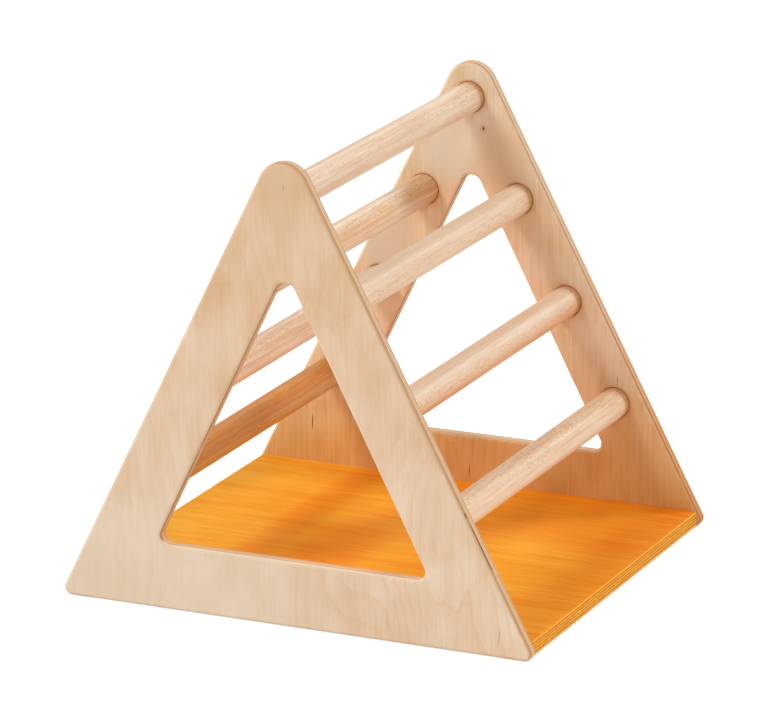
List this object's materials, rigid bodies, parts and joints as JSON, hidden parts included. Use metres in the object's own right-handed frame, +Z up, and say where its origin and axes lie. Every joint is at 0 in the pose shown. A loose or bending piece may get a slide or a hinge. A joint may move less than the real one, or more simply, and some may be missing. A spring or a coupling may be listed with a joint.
{
  "type": "climbing triangle",
  "caption": "Free-standing toddler climbing triangle: plywood sides with a triangular cut-out, round rungs down both slopes and a stained board across the base.",
  "frame": {"origin": "on the floor, in the middle of the base board, at the bottom centre of the whole part's box", "axes": "+X across the front, along the base of the triangle; +Y along the rungs, from the front panel to the back one; +Z up"},
  "size_m": [0.5558, 0.488, 0.5131],
  "materials": {
    "panel_plywood": "birch plywood, edges rounded over, clear satin lacquer",
    "stained_board": "birch plywood stained orange, grain showing, clear satin lacquer",
    "rung_beech": "turned beech, clear satin lacquer",
    "dowel_beech": "raw beech, glued"
  },
  "bodies": {
    "root": {"front_side_panel": "panel_plywood", "back_side_panel": "panel_plywood", "base_board": "stained_board", "top_rung": "rung_beech", "right_upper_rung": "rung_beech", "right_middle_rung": "rung_beech", "right_lower_rung": "rung_beech", "left_upper_rung": "rung_beech", "left_middle_rung": "rung_beech", "left_lower_rung": "rung_beech", "front_base_dowels": "dowel_beech", "back_base_dowels": "dowel_beech"}
  },
  "joints": []
}
